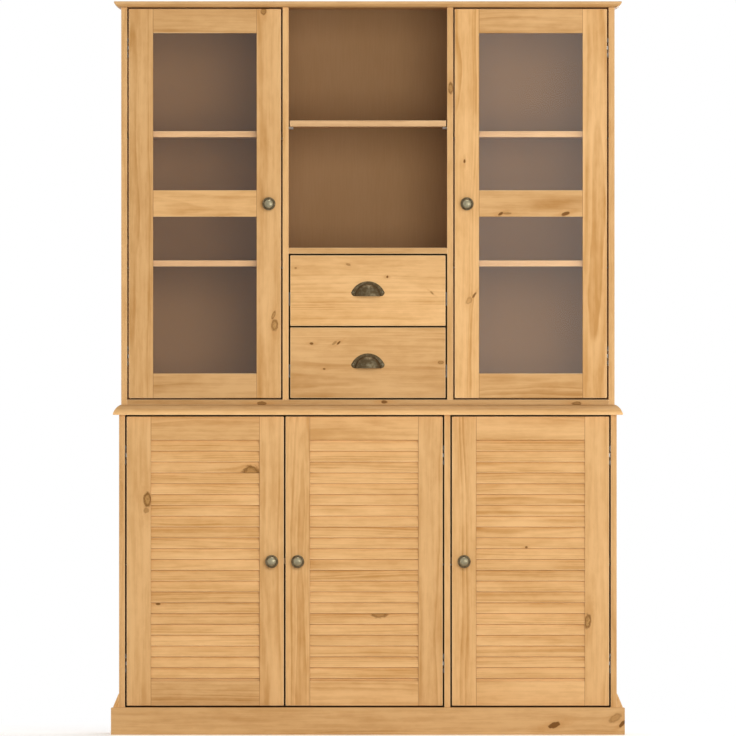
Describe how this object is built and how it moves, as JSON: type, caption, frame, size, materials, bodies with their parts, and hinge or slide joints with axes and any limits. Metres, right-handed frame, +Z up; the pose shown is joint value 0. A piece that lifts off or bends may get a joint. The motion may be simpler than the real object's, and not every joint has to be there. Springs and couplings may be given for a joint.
{
  "type": "buffet cabinet",
  "caption": "Waxed pine buffet cabinet: a glazed hutch with an open bay over drawers, on a base cupboard with louvred doors and a moulded worktop, cornice and plinth.",
  "frame": {"origin": "on the floor, at the middle of the bounding box in plan", "axes": "+Z up, the front faces -Y, and +X is to the right as seen from the front"},
  "size_m": [1.38, 0.406, 1.97],
  "materials": {
    "pine": "honey-coloured pine, satin wax",
    "back_panel": "thin panel stained brown, satin",
    "glass": "clear flat glass",
    "antique_metal": "darkened, with pale rubbed high spots",
    "steel": "zinc plated"
  },
  "bodies": {
    "carcass": {"base_back_panel": "back_panel", "base_bottom": "pine", "base_divider": "pine", "base_side_left": "pine", "base_side_right": "pine", "cornice": "pine", "drawer_shelf": "pine", "drawer_slide_channels": "steel", "hinge_arms": "steel", "hinge_plates": "steel", "hutch_back_panel": "back_panel", "hutch_dividers": "pine", "hutch_floor": "pine", "hutch_side_left": "pine", "hutch_side_right": "pine", "joint_dowels": "pine", "loose_shelves": "pine", "plinth_front": "pine", "plinth_sides": "pine", "shelf_pins": "steel", "worktop": "pine"},
    "upper_left_door": {"upper_left_door_beads": "pine", "upper_left_door_hinge_cups": "steel", "upper_left_door_knob": "antique_metal", "upper_left_door_panes": "glass", "upper_left_door_rails": "pine", "upper_left_door_stiles": "pine"},
    "upper_right_door": {"upper_right_door_beads": "pine", "upper_right_door_hinge_cups": "steel", "upper_right_door_knob": "antique_metal", "upper_right_door_panes": "glass", "upper_right_door_rails": "pine", "upper_right_door_stiles": "pine"},
    "lower_left_door": {"lower_left_door_hinge_cups": "steel", "lower_left_door_knob": "antique_metal", "lower_left_door_rails": "pine", "lower_left_door_slats": "pine", "lower_left_door_stiles": "pine"},
    "lower_middle_door": {"lower_middle_door_hinge_cups": "steel", "lower_middle_door_knob": "antique_metal", "lower_middle_door_rails": "pine", "lower_middle_door_slats": "pine", "lower_middle_door_stiles": "pine"},
    "lower_right_door": {"lower_right_door_hinge_cups": "steel", "lower_right_door_knob": "antique_metal", "lower_right_door_rails": "pine", "lower_right_door_slats": "pine", "lower_right_door_stiles": "pine"},
    "upper_drawer": {"upper_drawer_bottom": "back_panel", "upper_drawer_box": "pine", "upper_drawer_front": "pine", "upper_drawer_pull": "antique_metal", "upper_drawer_slide_rails": "steel"},
    "upper_drawer_carriers": {"upper_drawer_slide_carriers": "steel"},
    "lower_drawer": {"lower_drawer_bottom": "back_panel", "lower_drawer_box": "pine", "lower_drawer_front": "pine", "lower_drawer_pull": "antique_metal", "lower_drawer_slide_rails": "steel"},
    "lower_drawer_carriers": {"lower_drawer_slide_carriers": "steel"}
  },
  "joints": [
    {"name": "upper_left_door_hinge", "type": "hinge", "parent": "carcass", "child": "upper_left_door", "pos_m": [-0.6446, -0.1693, 1.427], "axis": [0, 0, -1], "range_deg": [0, 95]},
    {"name": "upper_right_door_hinge", "type": "hinge", "parent": "carcass", "child": "upper_right_door", "pos_m": [0.6446, -0.1693, 1.427], "axis": [0, 0, 1], "range_deg": [0, 95]},
    {"name": "lower_left_door_hinge", "type": "hinge", "parent": "carcass", "child": "lower_left_door", "pos_m": [-0.6503, -0.175, 0.4662], "axis": [0, 0, -1], "range_deg": [0, 95]},
    {"name": "lower_middle_door_hinge", "type": "hinge", "parent": "carcass", "child": "lower_middle_door", "pos_m": [0.20317, -0.175, 0.4662], "axis": [0, 0, 1], "range_deg": [0, 95]},
    {"name": "lower_right_door_hinge", "type": "hinge", "parent": "carcass", "child": "lower_right_door", "pos_m": [0.6503, -0.175, 0.4662], "axis": [0, 0, 1], "range_deg": [0, 95]},
    {"name": "upper_drawer_slide", "type": "slide", "parent": "carcass", "child": "upper_drawer", "axis": [0, -1, 0], "range_m": [0, 0.28]},
    {"name": "upper_drawer_carriers_slide", "type": "slide", "parent": "carcass", "child": "upper_drawer_carriers", "axis": [0, -1, 0], "range_m": [0, 0.14]},
    {"name": "lower_drawer_slide", "type": "slide", "parent": "carcass", "child": "lower_drawer", "axis": [0, -1, 0], "range_m": [0, 0.28]},
    {"name": "lower_drawer_carriers_slide", "type": "slide", "parent": "carcass", "child": "lower_drawer_carriers", "axis": [0, -1, 0], "range_m": [0, 0.14]}
  ],
  "couplings": [
    {"joint": "upper_drawer_carriers_slide", "follows": "upper_drawer_slide", "ratio": 0.5},
    {"joint": "lower_drawer_carriers_slide", "follows": "lower_drawer_slide", "ratio": 0.5}
  ]
}
